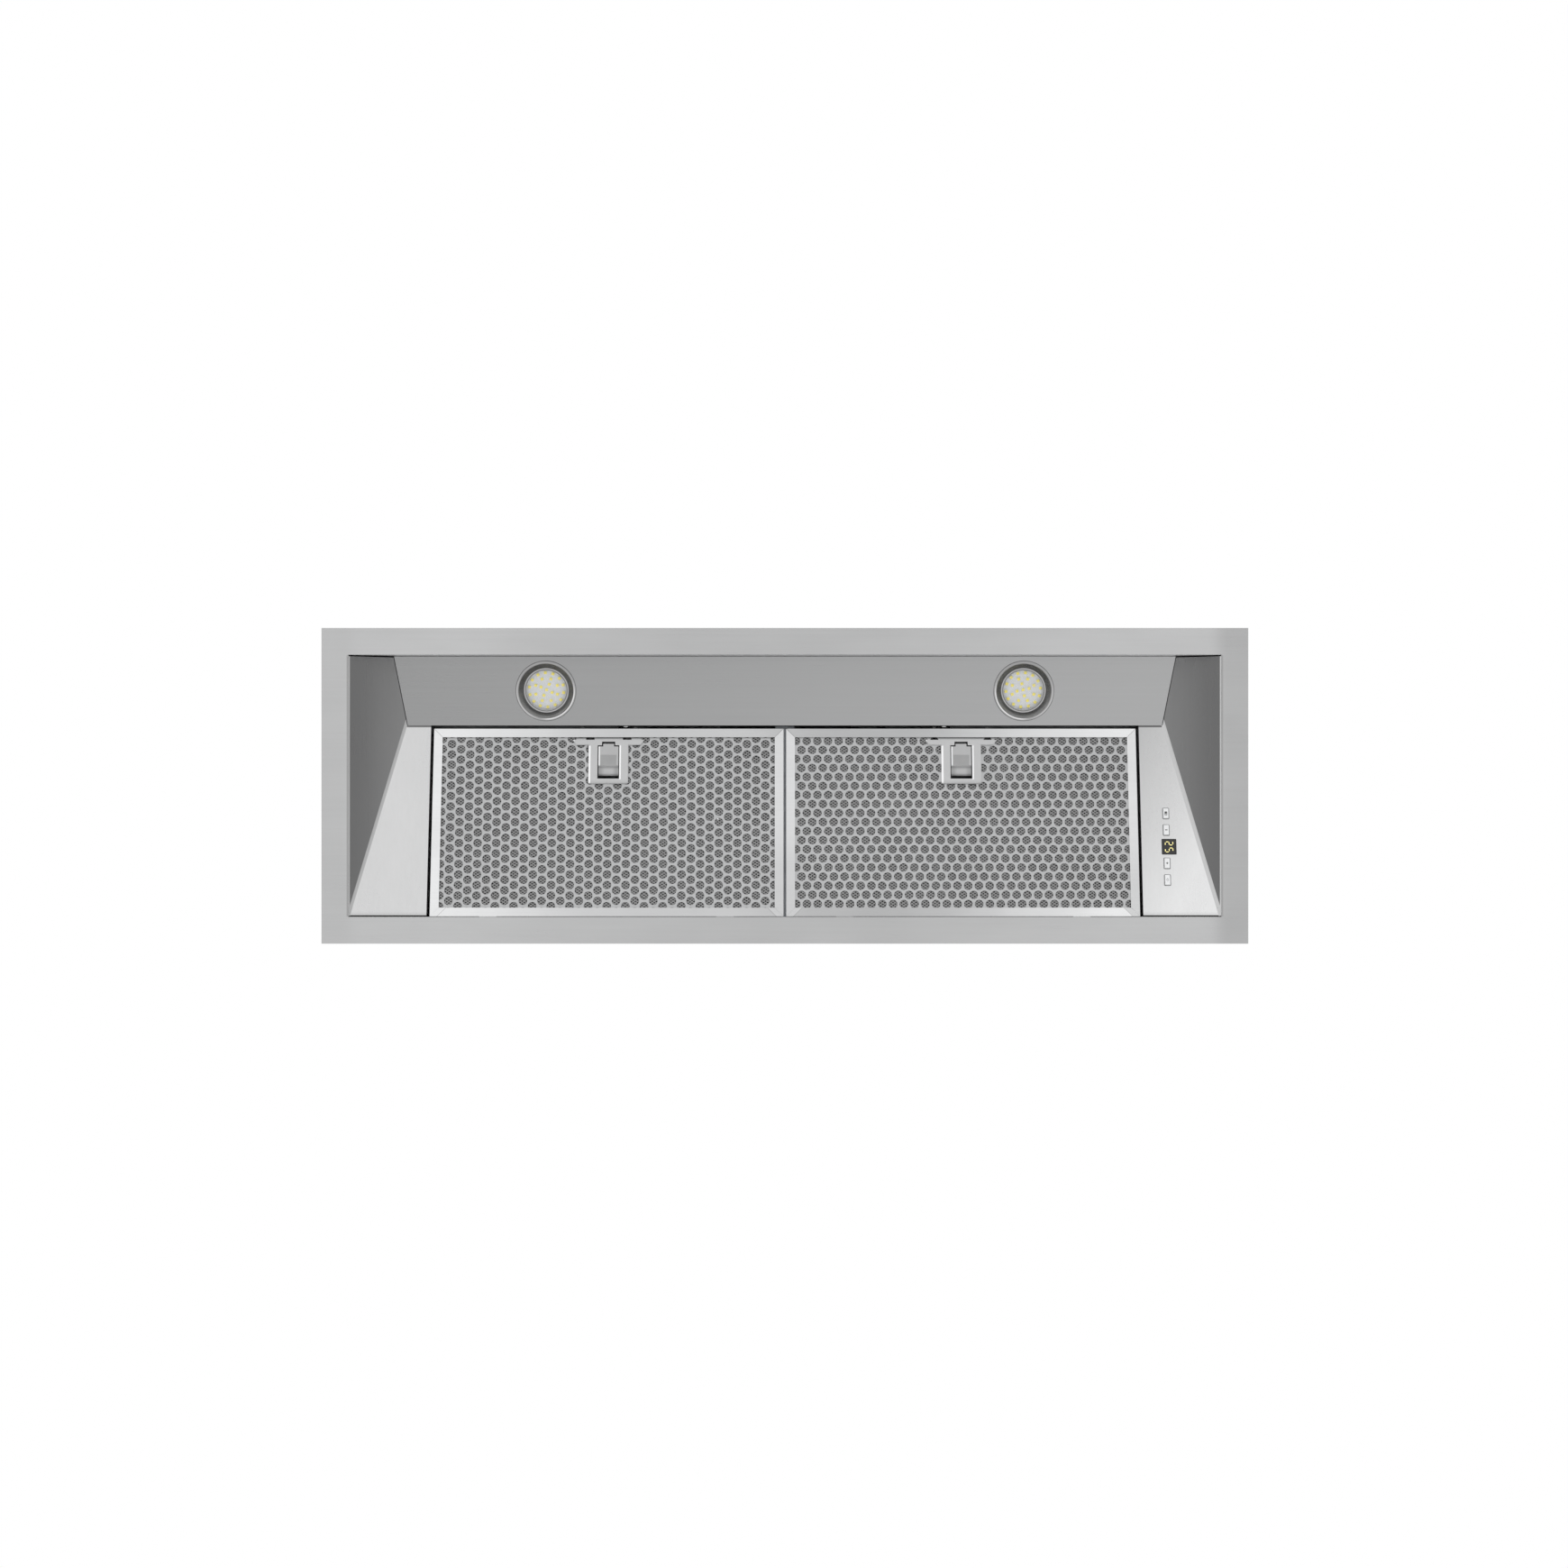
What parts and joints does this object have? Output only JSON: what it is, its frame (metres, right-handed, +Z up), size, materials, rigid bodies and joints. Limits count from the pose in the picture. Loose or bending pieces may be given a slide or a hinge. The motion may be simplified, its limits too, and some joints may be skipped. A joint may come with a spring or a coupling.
{
  "type": "undermount range hood",
  "caption": "Built-in range hood: flanged steel recess with round lamps, latched perforated grease filters, push buttons, and a duct blower on top.",
  "frame": {"origin": "under the middle of the flange, on the plane of its lower face", "axes": "+X along the width towards the buttons, +Y towards the back where the filters hinge, +Z up towards the duct"},
  "size_m": [0.86, 0.293, 0.345],
  "materials": {
    "brushed_steel": "brushed stainless sheet",
    "zinc_sheet": "galvanised sheet",
    "filter_alloy": "satin",
    "cast_alloy": "satin",
    "steel_parts": "bright",
    "black_plastic": "matte",
    "rubber_black": "matte",
    "white_plastic": "matte",
    "button_plastic": "semi gloss",
    "lamp_glass": "clear",
    "display_glass": "gloss",
    "circuit_board": "matte"
  },
  "bodies": {
    "hood": {"flange_frame": "brushed_steel", "light_panel": "brushed_steel", "side_liner_left": "brushed_steel", "side_liner_right": "brushed_steel", "channel_wall": "zinc_sheet", "tray_shell": "zinc_sheet", "centre_rail": "zinc_sheet", "mount_brackets": "zinc_sheet", "motor_housing": "zinc_sheet", "housing_front": "zinc_sheet", "housing_back": "zinc_sheet", "sheet_screws": "steel_parts", "outlet_collar": "zinc_sheet", "damper_rod": "cast_alloy", "scroll_wrap": "zinc_sheet", "scroll_side_left": "zinc_sheet", "scroll_side_right": "zinc_sheet", "motor_body": "cast_alloy", "motor_bearings": "steel_parts", "motor_bushes": "rubber_black", "motor_bracket": "zinc_sheet", "capacitor": "cast_alloy", "terminal_box": "white_plastic", "terminal_cover": "white_plastic", "cable_gland": "black_plastic", "led_driver": "white_plastic", "lamp_cables": "black_plastic", "lamp_bezels": "brushed_steel", "lamp_lenses": "lamp_glass", "lamp_heat_sinks": "cast_alloy", "lamp_boards": "white_plastic", "lamp_springs": "steel_parts", "control_board": "circuit_board", "control_carrier": "black_plastic", "display_module": "black_plastic", "display_window": "display_glass"},
    "filter_left": {"filter_frame_left": "filter_alloy", "filter_face_left": "filter_alloy", "filter_mesh_left": "filter_alloy", "filter_grid_left": "filter_alloy", "latch_bezel_left": "brushed_steel", "latch_springs_left": "steel_parts"},
    "latch_left": {"latch_tab_left": "filter_alloy"},
    "filter_right": {"filter_frame_right": "filter_alloy", "filter_face_right": "filter_alloy", "filter_mesh_right": "filter_alloy", "filter_grid_right": "filter_alloy", "latch_bezel_right": "brushed_steel", "latch_springs_right": "steel_parts"},
    "latch_right": {"latch_tab_right": "filter_alloy"},
    "blower_wheel": {"impeller_left": "black_plastic", "impeller_right": "black_plastic", "impeller_disc": "black_plastic", "motor_shaft": "steel_parts"},
    "flap_front": {"damper_front": "black_plastic"},
    "flap_back": {"damper_back": "black_plastic"},
    "button_light": {"button_light": "button_plastic"},
    "button_minus": {"button_minus": "button_plastic"},
    "button_plus": {"button_plus": "button_plastic"},
    "button_power": {"button_power": "button_plastic"}
  },
  "joints": [
    {"name": "filter_left_swing", "type": "hinge", "parent": "hood", "child": "filter_left", "pos_m": [0, 0.12111, 0.00089], "axis": [1, 0, 0], "range_deg": [0, 90]},
    {"name": "latch_left_slide", "type": "slide", "parent": "filter_left", "child": "latch_left", "axis": [0, 0.9743, -0.2251], "range_m": [0, 0.0025], "stiffness_N_per_m": 400},
    {"name": "filter_right_swing", "type": "hinge", "parent": "hood", "child": "filter_right", "pos_m": [0, 0.12111, 0.00089], "axis": [1, 0, 0], "range_deg": [0, 90]},
    {"name": "latch_right_slide", "type": "slide", "parent": "filter_right", "child": "latch_right", "axis": [0, 0.9743, -0.2251], "range_m": [0, 0.0025], "stiffness_N_per_m": 400},
    {"name": "blower_spin", "type": "hinge", "parent": "hood", "child": "blower_wheel", "pos_m": [0, -0.032, 0.19003], "axis": [1, 0, 0], "continuous": true},
    {"name": "flap_front_swing", "type": "hinge", "parent": "hood", "child": "flap_front", "pos_m": [0, 0.03163, 0.32], "axis": [-1, 0, 0], "range_deg": [0, 75]},
    {"name": "flap_back_swing", "type": "hinge", "parent": "hood", "child": "flap_back", "pos_m": [0, 0.03163, 0.32], "axis": [1, 0, 0], "range_deg": [0, 75]},
    {"name": "button_light_press", "type": "slide", "parent": "hood", "child": "button_light", "axis": [0, 0.2251, 0.9743], "range_m": [0, 0.0005], "stiffness_N_per_m": 1500},
    {"name": "button_minus_press", "type": "slide", "parent": "hood", "child": "button_minus", "axis": [0, 0.2251, 0.9743], "range_m": [0, 0.0005], "stiffness_N_per_m": 1500},
    {"name": "button_plus_press", "type": "slide", "parent": "hood", "child": "button_plus", "axis": [0, 0.2251, 0.9743], "range_m": [0, 0.0005], "stiffness_N_per_m": 1500},
    {"name": "button_power_press", "type": "slide", "parent": "hood", "child": "button_power", "axis": [0, 0.2251, 0.9743], "range_m": [0, 0.0005], "stiffness_N_per_m": 1500}
  ]
}
